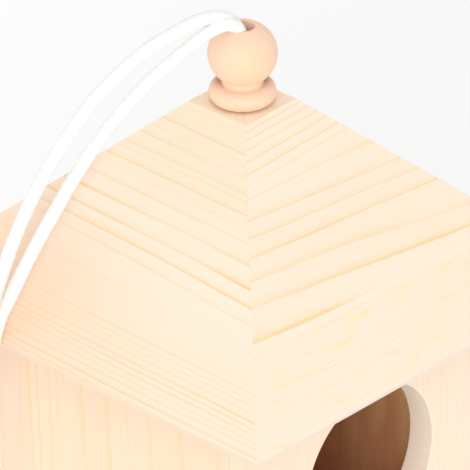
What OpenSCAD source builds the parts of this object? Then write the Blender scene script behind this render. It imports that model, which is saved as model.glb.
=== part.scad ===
// Hanging wooden birdhouse: a square box of four boards with a round entrance,
// under a four-panel mitred hip roof that is cut flat at the top. A turned knob
// sits on the flat, and a cotton cord loop runs down through the knob and the
// roof to a knot inside. A cover under the floor swings open for cleaning.
// Units are millimetres. +Z is up, Z = 0 is the rim that the house stands on,
// and the entrance faces -Y. The house stands centred on the Z axis.

/* [Roof] */
// Length of each eave, corner to corner along the outer arris
roof_side = 150; // [110:1:240]
// Slope of the roof panels above the horizontal, in degrees
roof_slope = 43; // [35:0.5:50]
// Side of the small square flat that the knob stands on
roof_flat = 22; // [20:0.5:40]
// Thickness of the roof panels
roof_board = 9; // [6:0.5:15]
// Height of the outer eave arris above the standing rim
eave_height = 115; // [90:1:180]

/* [Box] */
// Outer width and depth of the box
box_side = 102; // [80:1:180]
// Thickness of the four walls
wall_board = 9; // [6:0.5:15]

/* [Entrance] */
// Diameter of the round entrance in the front wall
entrance_d = 55; // [26:0.5:60]
// Drop of the entrance centre below the outer eave arris
entrance_drop = 45.5; // [30:0.5:70]

/* [Knob] */
// Diameter of the ball of the turned knob
ball_d = 20.5; // [16:0.5:40]
// Height of the neck between the collar and the ball
neck_h = 1.44; // [0.8:0.02:6]
// Height of the ball's upper half as a share of its radius
ball_crown = 0.94; // [0.8:0.01:1]
// Diameter of the neck between the ball and the collar
neck_d = 12.4; // [10:0.1:20]
// Diameter of the collar that stands on the flat
collar_d = 19.9; // [16:0.1:30]
// Height of the collar
collar_h = 6; // [4:0.1:10]
// Roundness of the collar's rim, measured inwards
collar_rim = 2.75; // [1:0.05:4]

/* [Cord] */
// Diameter of the cotton cord
cord_d = 4; // [2:0.1:6]
// Diameter of the cord hole through the knob, the roof and the apex block
cord_hole_d = 7; // [5:0.1:10]
// Diameter of the knot that holds the loop inside the roof
knot_d = 15; // [10:0.5:24]

/* [Apex block] */
// Depth of the apex block below the roof flat
apex_drop = 25; // [15:0.5:40]
// Height of the apex block
apex_block_h = 18; // [10:0.5:30]
// Outer diameter of the washer under the block
knot_washer_d = 18; // [12:0.5:30]
// Thickness of the washer under the block
knot_washer_t = 1.5; // [1:0.1:4]

/* [Floor] */
// Height of the floor's underside above the standing rim
floor_recess = 10; // [8:0.5:20]
// Thickness of the floor
floor_board = 9; // [6:0.5:15]
// Gap between the floor's edge and the walls
floor_gap = 0.2; // [0.1:0.05:1]
// Diameter of the four drain holes
drain_d = 5; // [3:0.5:8]
// Distance of the drain holes from the floor's edges
drain_inset = 6; // [5:0.5:12]
// Diameter of the clean-out hole
cleanout_d = 40; // [20:0.5:50]

/* [Clean-out cover] */
// Width of the cover's rim beyond the clean-out hole
cover_lap = 4; // [2:0.5:8]
// Thickness of the cover
cover_t = 5; // [3:0.5:8]
// Gap between the cover and the floor
cover_gap = 0.3; // [0.1:0.05:1]
// Gap between the closed cover's rim and the right wall
cover_side_gap = 2.27; // [1:0.01:6]
// Gap between the closed cover's rim and the front wall
cover_front_gap = 2.67; // [1:0.01:6]
// Distance from the pivot screw's axis to the edge of the clean-out hole
pivot_web = 7.5; // [5:0.5:15]
// Direction from the pivot to the clean-out hole, in degrees from +X
cover_bearing = -8; // [-20:1:0]
// Radius of the cover's ear around the pivot screw
ear_r = 7; // [5:0.5:10]
// Diameter of the pivot screw's shank
pivot_d = 3.5; // [2.5:0.1:5]
// Radial running clearance of the cover on the screw's shank
pivot_fit = 0.08; // [0.02:0.01:0.1]
// Length of the pivot screw below its head
pivot_len = 14; // [10:0.5:20]
// Diameter of the pivot screw's head
pivot_head_d = 7; // [5:0.5:10]
// Height of the pivot screw's head
pivot_head_h = 2.4; // [1.5:0.1:4]
// Thickness of the washer under the screw's head
pivot_washer_t = 0.6; // [0.4:0.1:1.5]
// Outer diameter of the washer under the screw's head
pivot_washer_d = 9; // [6:0.5:12]

/* [Brads] */
// Height of the lowest corner brads above the standing rim
brad_foot = 32; // [26:1:45]
// Drop of the highest corner brads below the corner of the wall's top
brad_drop = 25; // [10:1:35]
// Distance of the floor brads from the floor's edges
floor_brad_inset = 13.8; // [10:0.1:30]
// Diameter of the brads' shanks
brad_d = 1.6; // [1:0.1:2.5]
// Diameter of the brads' flush heads
brad_head_d = 2.8; // [2:0.1:4]
// Thickness of the brads' heads
brad_head_t = 0.8; // [0.4:0.1:1.5]
// Length of the brads in the wall corners
corner_brad_len = 25; // [18:1:35]
// Length of the brads that hold the floor
floor_brad_len = 16; // [13:1:20]
// Radial gap around each brad
brad_fit = 0.02; // [0.01:0.01:0.05]

/* [Hidden] */

$fn = 96;
eps = 0.5;

// Colours
pine = [0.93, 0.79, 0.60];
pine_light = [0.95, 0.83, 0.66];
beech = [0.90, 0.70, 0.52];
cotton = [0.96, 0.96, 0.93];
steel = [0.72, 0.73, 0.75];

// Roof heights along the slope, as functions of the distance r from the axis
half_roof = roof_side / 2;
half_flat = roof_flat / 2;
slope_rise = tan(roof_slope);
function outer_z(r) = eave_height + (half_roof - r) * slope_rise;
function inner_z(r) = outer_z(r) - roof_board / cos(roof_slope);
function inner_r(z) = half_roof - (z + roof_board / cos(roof_slope) - eave_height) / slope_rise;
flat_z = outer_z(half_flat);
eave_in_r = half_roof - roof_board * sin(roof_slope);
eave_in_z = eave_height - roof_board * cos(roof_slope);

// Box
half_box = box_side / 2;
half_in = half_box - wall_board;
entrance_z = eave_height - entrance_drop;

// Knob heights
ball_r = ball_d / 2;
neck_r = neck_d / 2;
ball_rise = collar_h + neck_h + sqrt(pow(ball_r, 2) - pow(neck_r, 2));
ball_z = flat_z + ball_rise;
crown_h = ball_r * ball_crown;
cord_hole_r = cord_hole_d / 2;
mouth_z = ball_z + crown_h * sqrt(1 - pow(cord_hole_r / ball_r, 2));

// Apex block, washer and knot heights
block_z = flat_z - apex_drop;
block_top_z = block_z + apex_block_h;
knot_washer_z = block_z - knot_washer_t;
knot_washer_hole_r = cord_hole_r + 0.2;
knot_r = knot_d / 2;
knot_z = knot_washer_z - sqrt(pow(knot_r, 2) - pow(knot_washer_hole_r, 2)) - 0.05;

// Cord: in the hole the two strands lie side by side, pressed a little thinner
cord_r = cord_d / 2;
strand_r = cord_hole_r / 2 - 0.05;
strand_turn = 59;
strand_off = [cord_hole_r / 2 * cos(strand_turn), cord_hole_r / 2 * sin(strand_turn)];
join_z = mouth_z - 21.4;

// Floor and cover
floor_z = floor_recess;
floor_half = half_in - floor_gap;
drain_at = floor_half - drain_inset;
cleanout_r = cleanout_d / 2;
cover_r = cleanout_r + cover_lap;
cover_arm = cleanout_r + pivot_web;
cleanout = [half_in - cover_r - cover_side_gap, -(half_in - cover_r - cover_front_gap)];
pivot = cleanout - cover_arm * [cos(cover_bearing), sin(cover_bearing)];
cover_z = floor_z - cover_gap - cover_t;
washer_z = cover_z - 0.15 - pivot_washer_t;
screw_head_z = washer_z - pivot_head_h;

// Brad places
corner_brad_x = half_box - wall_board / 2;
brad_top = inner_z(half_box) - brad_drop;
corner_brad_z = [brad_foot, (brad_foot + brad_top) / 2, brad_top];
floor_brad_at = floor_half - floor_brad_inset;
floor_brad_z = floor_z + floor_board / 2;

// ---------- roof ----------

// One mitred panel. Its face slopes down towards -Y and its edges are cut square.
module roof_panel() {
    difference() {
        intersection() {
            rotate([90, 0, 90])
                linear_extrude(height = roof_side + 2, center = true)
                    polygon([[-half_roof, eave_height], [-half_flat, flat_z], [0, flat_z],
                             [0, inner_z(0)], [-eave_in_r, eave_in_z]]);
            translate([0, 0, eave_in_z - eps])
                linear_extrude(height = flat_z - eave_in_z + 2 * eps)
                    polygon([[0, 0], [-half_roof - 1, -half_roof - 1],
                             [half_roof + 1, -half_roof - 1]]);
        }
        translate([0, 0, inner_z(0) - 5])
            cylinder(r = cord_hole_r, h = flat_z - inner_z(0) + 10);
    }
}

module roof_panel_front() { color(pine_light) roof_panel(); }
module roof_panel_right() { color(pine) rotate([0, 0, 90]) roof_panel(); }
module roof_panel_back() { color(pine_light) rotate([0, 0, 180]) roof_panel(); }
module roof_panel_left() { color(pine) rotate([0, 0, 270]) roof_panel(); }

// ---------- box ----------

// The space under the roof, seen from one side: the walls' bevelled tops end here
module under_roof(half_w) {
    polygon([[-half_w, 0], [half_w, 0], [half_w, inner_z(half_w)],
             [0, inner_z(0)], [-half_w, inner_z(half_w)]]);
}

// A full-width wall with its outer face at -Y and its top bevelled to the roof
module end_wall() {
    difference() {
        intersection() {
            rotate([90, 0, 90])
                linear_extrude(height = box_side, center = true)
                    polygon([[-half_box, 0], [-half_in, 0], [-half_in, inner_z(half_in)],
                             [-half_box, inner_z(half_box)]]);
            rotate([90, 0, 0])
                linear_extrude(height = 2 * box_side, center = true)
                    under_roof(half_box);
        }
        for (s = [-1, 1]) {
            for (z = corner_brad_z) brad_hole(s * corner_brad_x, z, corner_brad_len);
            brad_hole(s * floor_brad_at, floor_brad_z, floor_brad_len);
        }
    }
}

module front_wall() {
    color(pine_light)
        difference() {
            end_wall();
            translate([0, -half_box - eps, entrance_z])
                rotate([-90, 0, 0])
                    cylinder(r = entrance_d / 2, h = wall_board + 2 * eps);
        }
}

module back_wall() { color(pine_light) rotate([0, 0, 180]) end_wall(); }

// A side wall stands between the end walls, with its outer face at +X
module side_wall() {
    difference() {
        rotate([90, 0, 0])
            linear_extrude(height = 2 * half_in, center = true)
                polygon([[half_in, 0], [half_box, 0], [half_box, inner_z(half_box)],
                         [half_in, inner_z(half_in)]]);
        for (turn = [0, 180])
            for (s = [-1, 1])
                for (z = corner_brad_z)
                    rotate([0, 0, turn]) brad_hole(s * corner_brad_x, z, corner_brad_len);
        for (s = [-1, 1])
            rotate([0, 0, 90]) brad_hole(s * floor_brad_at, floor_brad_z, floor_brad_len);
    }
}

module right_wall() { color(pine) side_wall(); }
module left_wall() { color(pine) rotate([0, 0, 180]) side_wall(); }

// ---------- brads ----------

// A brad driven in from the -Y face at the given X and Z
module brad(x, z, len, fit = 0) {
    translate([x, -half_box, z])
        rotate([-90, 0, 0]) {
            translate([0, 0, fit > 0 ? -eps : 0])
                cylinder(r = brad_head_d / 2 + fit, h = brad_head_t + (fit > 0 ? eps : 0));
            cylinder(r = brad_d / 2 + fit, h = len + fit);
        }
}

module brad_hole(x, z, len) { brad(x, z, len, brad_fit); }

module corner_brads() {
    for (s = [-1, 1])
        for (z = corner_brad_z) brad(s * corner_brad_x, z, corner_brad_len);
}

module front_corner_brads() { color(steel) corner_brads(); }
module back_corner_brads() { color(steel) rotate([0, 0, 180]) corner_brads(); }

module floor_brads() {
    color(steel)
        for (turn = [0, 90, 180, 270])
            for (s = [-1, 1])
                rotate([0, 0, turn]) brad(s * floor_brad_at, floor_brad_z, floor_brad_len);
}

// ---------- floor and clean-out cover ----------

module floor_panel() {
    color(pine)
        difference() {
            translate([-floor_half, -floor_half, floor_z])
                cube([2 * floor_half, 2 * floor_half, floor_board]);
            for (sx = [-1, 1])
                for (sy = [-1, 1])
                    translate([sx * drain_at, sy * drain_at, floor_z - eps])
                        cylinder(r = drain_d / 2, h = floor_board + 2 * eps);
            translate([cleanout.x, cleanout.y, floor_z - eps])
                cylinder(r = cleanout_r, h = floor_board + 2 * eps);
            translate([pivot.x, pivot.y, floor_z - eps])
                cylinder(r = pivot_d / 2 + brad_fit, h = floor_board + 2 * eps);
            for (turn = [0, 90, 180, 270])
                for (s = [-1, 1])
                    rotate([0, 0, turn])
                        brad_hole(s * floor_brad_at, floor_brad_z, floor_brad_len);
        }
}

// Flat outline of the cover: a disc and a smaller ear, joined by their tangents
module cover_outline() {
    open_turn = 180 - acos((cover_r - ear_r) / cover_arm);
    polygon(concat(
        [for (k = [0:60]) let (a = open_turn * (k / 30 - 1))
            [cover_arm + cover_r * cos(a), cover_r * sin(a)]],
        [for (k = [0:16]) let (a = open_turn + (180 - open_turn) * k / 8)
            [ear_r * cos(a), ear_r * sin(a)]]));
}

module cleanout_cover() {
    color(pine_light)
        translate([pivot.x, pivot.y, cover_z])
            rotate([0, 0, cover_bearing])
                difference() {
                    linear_extrude(height = cover_t) cover_outline();
                    translate([0, 0, -eps])
                        cylinder(r = pivot_d / 2 + pivot_fit, h = cover_t + 2 * eps);
                }
}

module cover_washer() {
    color(steel)
        translate([pivot.x, pivot.y, washer_z])
            difference() {
                cylinder(r = pivot_washer_d / 2, h = pivot_washer_t);
                translate([0, 0, -eps])
                    cylinder(r = pivot_d / 2 + 0.1, h = pivot_washer_t + 2 * eps);
            }
}

// Round-headed wood screw, head down, with a crossed driver recess
module cover_screw() {
    dome_r = (pow(pivot_head_d / 2, 2) + pow(pivot_head_h, 2)) / (2 * pivot_head_h);
    color(steel)
        translate([pivot.x, pivot.y, washer_z]) {
            difference() {
                intersection() {
                    translate([0, 0, dome_r - pivot_head_h]) sphere(r = dome_r);
                    translate([0, 0, -pivot_head_h])
                        cylinder(r = pivot_head_d / 2, h = pivot_head_h);
                }
                for (turn = [0, 90])
                    rotate([0, 0, turn])
                        translate([-1.8, -0.4, -pivot_head_h - eps])
                            cube([3.6, 0.8, 1.2 + eps]);
            }
            cylinder(r = pivot_d / 2, h = pivot_len);
        }
}

// ---------- knob, apex block and knot ----------

// Half outline of the knob from its foot to the mouth of the cord hole, [r, z]
collar_c = collar_d / 2 - collar_rim;
neck_foot = collar_h / 2 * (1 + sqrt(1 - pow((collar_c - neck_r) / collar_rim, 2)));
neck_turn = -acos(neck_r / ball_r);
crown_turn = acos((cord_hole_r + 0.5) / ball_r);
knob_outline = concat(
    [[0, 0], [collar_c, 0]],
    [for (a = [-75:15:75]) [collar_c + collar_rim * cos(a), collar_h / 2 * (1 + sin(a))]],
    [[collar_c, collar_h], [neck_r + 0.35, neck_foot + 0.1], [neck_r, neck_foot + 0.5]],
    [for (k = [0:10]) let (a = neck_turn * (1 - k / 10))
        [ball_r * cos(a), ball_rise + ball_r * sin(a)]],
    [for (k = [1:12]) let (a = crown_turn * k / 12)
        [ball_r * cos(a), ball_rise + crown_h * sin(a)]],
    [[cord_hole_r, mouth_z - flat_z - 0.35], [0, mouth_z - flat_z - 0.35]]);

module knob() {
    color(beech)
        translate([0, 0, flat_z])
            difference() {
                rotate_extrude() polygon(knob_outline);
                translate([0, 0, -eps]) cylinder(r = cord_hole_r, h = ball_rise + ball_d);
            }
}

// Glue block that fills the top of the roof and carries the knot's washer
module apex_block() {
    side = [[-inner_r(block_z), block_z], [inner_r(block_z), block_z],
            [inner_r(block_top_z), block_top_z], [-inner_r(block_top_z), block_top_z]];
    color(pine)
        difference() {
            intersection() {
                rotate([90, 0, 0])
                    linear_extrude(height = roof_side, center = true) polygon(side);
                rotate([90, 0, 90])
                    linear_extrude(height = roof_side, center = true) polygon(side);
            }
            translate([0, 0, block_z - eps])
                cylinder(r = cord_hole_r, h = apex_block_h + 2 * eps);
        }
}

module knot_washer() {
    color(beech)
        translate([0, 0, knot_washer_z])
            difference() {
                cylinder(r = knot_washer_d / 2, h = knot_washer_t);
                translate([0, 0, -eps])
                    cylinder(r = knot_washer_hole_r, h = knot_washer_t + 2 * eps);
            }
}

// The knot, and the two strands that run from it up the hole to the loop
module cord_knot() {
    color(cotton) {
        translate([0, 0, knot_z]) sphere(r = knot_r);
        for (s = [-1, 1])
            translate([s * strand_off.x, s * strand_off.y, knot_z])
                cylinder(r = strand_r, h = join_z - knot_z);
    }
}

// ---------- hanging cord ----------

// Route of the loop: out of the knob, over the left eave, down to the bight and
// back up beside itself
in_bore_z = mouth_z - 8.4;
route = concat(
    [[strand_off.x, strand_off.y, join_z], [strand_off.x, strand_off.y, in_bore_z]],
    [[0.3, 1.6, 195.8], [-1.7, 2, 200.2], [-6, 3.1, 203.1], [-13, 4.9, 204.1],
     [-22, 7.3, 202.2], [-31.5, 10.3, 198.4], [-41, 13.2, 192.3], [-49, 15.8, 185.1],
     [-59, 19.2, 172.1], [-68, 22, 157], [-74.5, 24.1, 142], [-80, 26, 125],
     [-85.8, 27.7, 106.5], [-91.4, 29.2, 86], [-93.6, 29.8, 75.5], [-94, 29.8, 66.5],
     [-91.5, 29.5, 60.4], [-85.4, 28.9, 57.9], [-79.3, 28.4, 60.4], [-76.8, 28.5, 66.5],
     [-76.7, 28.7, 75.5], [-77, 28.5, 88], [-77.2, 27.9, 108], [-75.2, 26.8, 120.5],
     [-71, 25.5, 129], [-63.8, 23.4, 141.8], [-55.5, 20.7, 155], [-49, 18.5, 164.8],
     [-42, 15.9, 174], [-34.5, 13.2, 182], [-26.5, 10.2, 189], [-18.3, 6.8, 194.9],
     [-12.8, 4.1, 198.9], [-8.2, 2, 201], [-4.5, 0.3, 201], [-2, -0.9, 198.2]],
    [[-strand_off.x, -strand_off.y, in_bore_z], [-strand_off.x, -strand_off.y, join_z]]);

function on_curve(a, b, c, d, t) =
    0.5 * ((2 * b) + (c - a) * t + (2 * a - 5 * b + 4 * c - d) * t * t
           + (3 * b - a - 3 * c + d) * t * t * t);
last = len(route) - 1;
spine = concat(
    [for (i = [0:last - 1], t = [0, 0.5])
        on_curve(route[max(i - 1, 0)], route[i], route[i + 1], route[min(i + 2, last)], t)],
    [route[last]]);
rings = len(spine);
sides = 8;

function unit(v) = v / norm(v);
tangents = [for (i = [0:rings - 1])
    i == 0 || i == rings - 1 ? [0, 0, i == 0 ? 1 : -1] : unit(spine[i + 1] - spine[i - 1])];
function across(n, t) = unit(n - (n * t) * t);
normals = [for (i = 0, n = [1, 0, 0]; i < rings;
                i = i + 1, n = i < rings ? across(n, tangents[i]) : n) n];
ring_r = [for (i = [0:rings - 1])
    i < 5 || i > rings - 6 ? strand_r : (i == 5 || i == rings - 6 ? (strand_r + cord_r) / 2
                                                                  : cord_r)];
tube_points = [for (i = [0:rings - 1], k = [0:sides - 1])
    let (n = normals[i], b = cross(tangents[i], n), a = 360 * k / sides)
        spine[i] + ring_r[i] * (cos(a) * n + sin(a) * b)];
tube_faces = concat(
    [[for (k = [0:sides - 1]) k]],
    [for (i = [0:rings - 2], k = [0:sides - 1])
        let (a = i * sides + k, b = i * sides + (k + 1) % sides)
            [a, a + sides, b + sides, b]],
    [[for (k = [sides - 1:-1:0]) (rings - 1) * sides + k]]);

module hanging_cord() {
    color(cotton) polyhedron(points = tube_points, faces = tube_faces, convexity = 8);
}

// ---------- pieces ----------

roof_panel_front();
roof_panel_right();
roof_panel_back();
roof_panel_left();
front_wall();
back_wall();
left_wall();
right_wall();
floor_panel();
front_corner_brads();
back_corner_brads();
floor_brads();
knob();
apex_block();
knot_washer();
cord_knot();
hanging_cord();
cleanout_cover();
cover_washer();
cover_screw();
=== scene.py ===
# %% [markdown]
# # A hanging birdhouse of raw pine
#
# The real thing is a box of four pine boards with a round entrance, under a roof of
# four mitred panels. A turned beech knob stands on the roof, and a white cotton cord
# comes up through it and falls over the eave. A cover under the floor swings open.
#
# The boards' sizes and the cover's hinge are settled in the solid model, which is
# loaded first. Everything here is built around it, in metres, in the same place.

# %% Load the solid model
import math

import bmesh
import bpy
from mathutils import Matrix, Vector


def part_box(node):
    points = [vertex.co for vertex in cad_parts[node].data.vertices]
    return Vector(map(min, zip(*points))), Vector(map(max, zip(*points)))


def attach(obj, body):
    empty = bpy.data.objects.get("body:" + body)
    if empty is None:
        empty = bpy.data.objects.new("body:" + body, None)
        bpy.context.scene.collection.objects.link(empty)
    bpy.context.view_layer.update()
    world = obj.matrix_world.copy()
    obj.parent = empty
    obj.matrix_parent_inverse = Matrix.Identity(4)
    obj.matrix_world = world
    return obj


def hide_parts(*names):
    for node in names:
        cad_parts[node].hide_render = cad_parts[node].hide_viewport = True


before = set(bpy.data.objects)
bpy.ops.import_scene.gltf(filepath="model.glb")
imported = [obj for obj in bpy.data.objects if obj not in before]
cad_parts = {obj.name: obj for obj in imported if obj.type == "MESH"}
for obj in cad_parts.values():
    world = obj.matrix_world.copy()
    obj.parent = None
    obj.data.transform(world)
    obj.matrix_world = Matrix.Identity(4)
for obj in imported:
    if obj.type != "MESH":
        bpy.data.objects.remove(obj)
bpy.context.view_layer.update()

MM = 0.001

# %% [markdown]
# ## Sizes
#
# The roof panel's box tells where the eave and the flat top are. Only the slope, the
# boards' thickness and the flat's half width are added, because a box can't say them.
# Heights under and over the roof are then functions of the distance from the middle,
# so that walls, panels and knob all agree.

# %% Sizes of the roof and the box
slope = math.radians(43)
board = 9 * MM
half_flat = 11 * MM
half_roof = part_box("roof_panel_front")[1].x
flat_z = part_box("roof_panel_front")[1].z
half_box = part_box("right_wall")[1].x
half_in = half_box - board
eave_z = flat_z - (half_roof - half_flat) * math.tan(slope)


def inner_z(r):
    """Height of the panels' undersides at the distance r from the middle."""
    return eave_z + (half_roof - r) * math.tan(slope) - board / math.cos(slope)


print("eave at", round(eave_z / MM, 2), "mm, flat at", round(flat_z / MM, 2), "mm")

# %% [markdown]
# ## Camera
#
# The camera looks down on the front left corner of the roof through a very long lens,
# so the eaves stay almost parallel. It stands on the line `back` from a point at the
# eaves' height, and is moved a little sideways so that the roof fills the frame.

# %% Camera
turn, lift = math.radians(-47.205), math.radians(29.722)
back = Vector((math.sin(turn) * math.cos(lift), -math.cos(turn) * math.cos(lift),
               math.sin(lift)))
right = Vector((math.cos(turn), math.sin(turn), 0))
up = back.cross(right)

aim = Vector((0, 0, 0.115))
distance, to_the_right, upwards = 2.4, -0.00218, 0.012444

lens = bpy.data.cameras.new("camera")
lens.sensor_width = 36
lens.lens = 625.2
lens.clip_start, lens.clip_end = 0.1, 100
camera = bpy.data.objects.new("camera", lens)
bpy.context.scene.collection.objects.link(camera)
camera.location = aim + distance * back + to_the_right * right + upwards * up
camera.rotation_mode = "QUATERNION"
camera.rotation_quaternion = (-back).to_track_quat("-Z", "Y")
bpy.context.scene.camera = camera
print("camera at", [round(x, 3) for x in camera.location])

# %% [markdown]
# ## Making a piece
#
# Every piece is a bmesh that becomes an object at the origin, with its place in its
# mesh. It rides on a body of the solid model, and stands for the solid that it
# replaces. Large faces stay flat and only the small rounded ones are smooth, which
# keeps boards crisp.


# %% Turn a bmesh into a piece
def piece(shape, name, stands_for, body="house", smooth=None):
    mesh = bpy.data.meshes.new(name)
    bmesh.ops.remove_doubles(shape, verts=shape.verts, dist=1e-7)
    shape.to_mesh(mesh)
    shape.free()
    if smooth is not None:
        mesh.shade_smooth()
        mesh.set_sharp_from_angle(angle=math.radians(smooth))
    made = bpy.data.objects.new(name, mesh)
    bpy.context.scene.collection.objects.link(made)
    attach(made, body)
    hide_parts(*stands_for)
    return made


def count(made):
    print(made.name, "-", len(made.data.polygons), "faces")


# %% [markdown]
# ## Cord
#
# The cord is soft 4 mm cotton. One length leaves the knob's hole, bends over the ball,
# runs down over the eave, turns at its bight and comes back beside itself into the
# hole. A smooth curve through chosen points gives the route. A ring of points is
# carried along it, and each ring bulges where a bundle of yarn lies over another, so
# the braid is in the mesh itself. Inside the knob the soft cord is squeezed thinner.

# %% Route of the cord
cord_r, squeezed_r = 2.0, 1.7
join_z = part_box("cord_knot")[1].z / MM
bore_z, mouth_z = join_z + 13, join_z + 21.4
strand_x, strand_y = 0.9013, 1.5

CORD_POINTS = (
    [(strand_x, strand_y, join_z), (strand_x, strand_y, bore_z)]
    + [(0.3, 1.6, 195.8), (-1.7, 2, 200.2), (-6, 3.1, 203.1), (-13, 4.9, 204.1),
       (-22, 7.3, 202.2), (-31.5, 10.3, 198.4), (-41, 13.2, 192.3), (-49, 15.8, 185.1),
       (-59, 19.2, 172.1), (-68, 22, 157), (-74.5, 24.1, 142), (-80, 26, 125),
       (-85.8, 27.7, 106.5), (-91.4, 29.2, 86), (-93.6, 29.8, 75.5), (-94, 29.8, 66.5),
       (-91.5, 29.5, 60.4), (-85.4, 28.9, 57.9), (-79.3, 28.4, 60.4), (-76.8, 28.5, 66.5),
       (-76.7, 28.7, 75.5), (-77, 28.5, 88), (-77.2, 27.9, 108), (-75.2, 26.8, 120.5),
       (-71, 25.5, 129), (-63.8, 23.4, 141.8), (-55.5, 20.7, 155), (-49, 18.5, 164.8),
       (-42, 15.9, 174), (-34.5, 13.2, 182), (-26.5, 10.2, 189), (-18.3, 6.8, 194.9),
       (-12.8, 4.1, 198.9), (-8.2, 2, 201), (-4.5, 0.3, 201), (-2, -0.9, 198.2)]
    + [(-strand_x, -strand_y, bore_z), (-strand_x, -strand_y, join_z)])


def smooth_route(points, steps):
    """Points on the curve through the given ones, with so many steps to the next."""
    points = [Vector(p) for p in points]
    line = []
    for i in range(len(points) - 1):
        a, b = points[max(i - 1, 0)], points[i]
        c, d = points[i + 1], points[min(i + 2, len(points) - 1)]
        for k in range(steps):
            t = k / steps
            line.append(0.5 * (2 * b + (c - a) * t + (2 * a - 5 * b + 4 * c - d) * t * t
                               + (3 * b - a - 3 * c + d) * t ** 3))
    return line + [points[-1]]


def evenly(line, steps):
    """The same line in so many steps of equal length, and its length."""
    far = [0.0]
    for a, b in zip(line, line[1:]):
        far.append(far[-1] + (b - a).length)
    spaced, i = [], 0
    for k in range(steps + 1):
        want = far[-1] * k / steps
        while i < len(line) - 2 and far[i + 1] < want:
            i += 1
        share = (want - far[i]) / max(far[i + 1] - far[i], 1e-9)
        spaced.append(line[i].lerp(line[i + 1], min(1, share)))
    return spaced, far[-1]


cord_line, cord_length = evenly(smooth_route(CORD_POINTS, 24), 1400)
print("cord", round(cord_length, 1), "mm long")


# %% Roll a grid into a tube along a line
def tube(line, radius_at, sides):
    """A grid is rolled up and carried along the line, in mm. radius_at(k, turn) is the
    radius at station k of the line, where turn goes from 0 to 1 around."""
    shape = bmesh.new()
    shape.loops.layers.uv.new("along")
    last = len(line) - 1
    bmesh.ops.create_grid(shape, x_segments=sides, y_segments=last, size=0.5,
                          calc_uvs=True)
    ahead = [(line[min(k + 1, last)] - line[max(k - 1, 0)]).normalized()
             for k in range(last + 1)]
    side = [ahead[0].orthogonal().normalized()]
    for k in range(1, last + 1):
        side.append((side[-1] - side[-1].dot(ahead[k]) * ahead[k]).normalized())
    for v in shape.verts:
        k, around = round((v.co.y + 0.5) * last), v.co.x + 0.5
        a = around * math.tau
        out = math.cos(a) * side[k] + math.sin(a) * ahead[k].cross(side[k])
        v.co = (line[k] + radius_at(k, around % 1.0) * out) * MM
    bmesh.ops.remove_doubles(shape, verts=shape.verts, dist=1e-7)
    rim = [e for e in shape.edges if e.is_boundary]
    bmesh.ops.holes_fill(shape, edges=rim, sides=0)
    bmesh.ops.recalc_face_normals(shape, faces=shape.faces)
    return shape


# %% The braided cord
BUNDLES, PICK = 8, 2.6           # bundles around the cord, and mm from one to the next
BULGE, UNEVEN = 0.03, 0.02       # mm that a bundle stands out, and that the cord varies
SQUEEZED_FOR, SWELLS_OVER = 15, 9


def braid(k, around, step, thick):
    """Radius of a braid: bundles of yarn cross over each other in two directions."""
    along = k * step
    weave = math.cos(math.tau * along / PICK) - math.cos(math.tau * around * BUNDLES)
    return thick + BULGE * weave + UNEVEN * math.sin(0.31 * along + 2 * math.tau * around)


def cord_radius(k, around):
    step = cord_length / (len(cord_line) - 1)
    from_end = min(k * step, cord_length - k * step)
    swollen = min(1, max(0, (from_end - SQUEEZED_FOR) / SWELLS_OVER))
    return braid(k, around, step, squeezed_r + (cord_r - squeezed_r) * swollen)


hanging = piece(tube(cord_line, cord_radius, 32), "cotton_cord", ["hanging_cord"],
                smooth=180)
count(hanging)

# %% [markdown]
# ## Knot inside
#
# The two ends of the cord go down through the knob and the top of the roof, and are
# tied in one overhand knot under a washer. The knot is a trefoil: the same tube on a
# curve that crosses itself three times. Two short tails hang out of it.

# %% Knot, its two strands and its tails
knot_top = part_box("knot_washer")[0].z / MM
knot_z = knot_top - 6.6
trefoil = [Vector((1.75 * (math.sin(t) + 2 * math.sin(2 * t)),
                   1.75 * (math.cos(t) - 2 * math.cos(2 * t)),
                   knot_z - 3.4 * math.sin(3 * t)))
           for t in [math.tau * k / 240 for k in range(241)]]


def knot_radius(k, around):
    return braid(k, around, 0.25, 1.92)


knot = tube(trefoil, knot_radius, 24)
for sign in (-1, 1):
    rise = evenly([Vector((sign * 3.0, sign * 2.4, knot_z + 1)),
                   Vector((sign * strand_x * 1.6, sign * strand_y * 1.4, knot_z + 4)),
                   Vector((sign * strand_x, sign * strand_y, knot_top + 1)),
                   Vector((sign * strand_x, sign * strand_y, join_z))], 110)[0]
    tail = evenly(smooth_route([(sign * 2.2, -sign * 2.0, knot_z - 1),
                                (sign * 3.0, -sign * 3.2, knot_z - 6),
                                (sign * 3.6, -sign * 4.6, knot_z - 13)], 12), 60)[0]
    for line, thick in ((rise, squeezed_r - 0.04), (tail, 1.85)):
        part = bpy.data.meshes.new("part")
        shape = tube(line, lambda k, around, thick=thick: braid(k, around, 0.3, thick), 24)
        shape.to_mesh(part)
        shape.free()
        knot.from_mesh(part)
        bpy.data.meshes.remove(part)
knot = piece(knot, "cotton_knot", ["cord_knot"], smooth=180)
count(knot)

# %% [markdown]
# ## Roof panels
#
# Each panel is a board cut square at the eave and mitred at both hips. Its outline is
# drawn across the grain, extruded, and cut by the two mitre planes. The hips get a very
# fine bevel, which shows as the joint's line, and the eave a sanded one. The other
# three panels are the same board turned round the middle. A drum cuts away what stands
# in the cord's hole. It has 92 sides, so that no corner of it lies on a mitre plane.


# %% Helpers that cut, ease edges and bore
EDGE_EASE, EAVE_EASE, HIP_EASE = 0.3, 0.35, 0.1
TINY = 1e-6


def only(kind, geometry):
    """The vertices or the edges of what an operator returns."""
    return [part for part in geometry if isinstance(part, kind)]


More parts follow.
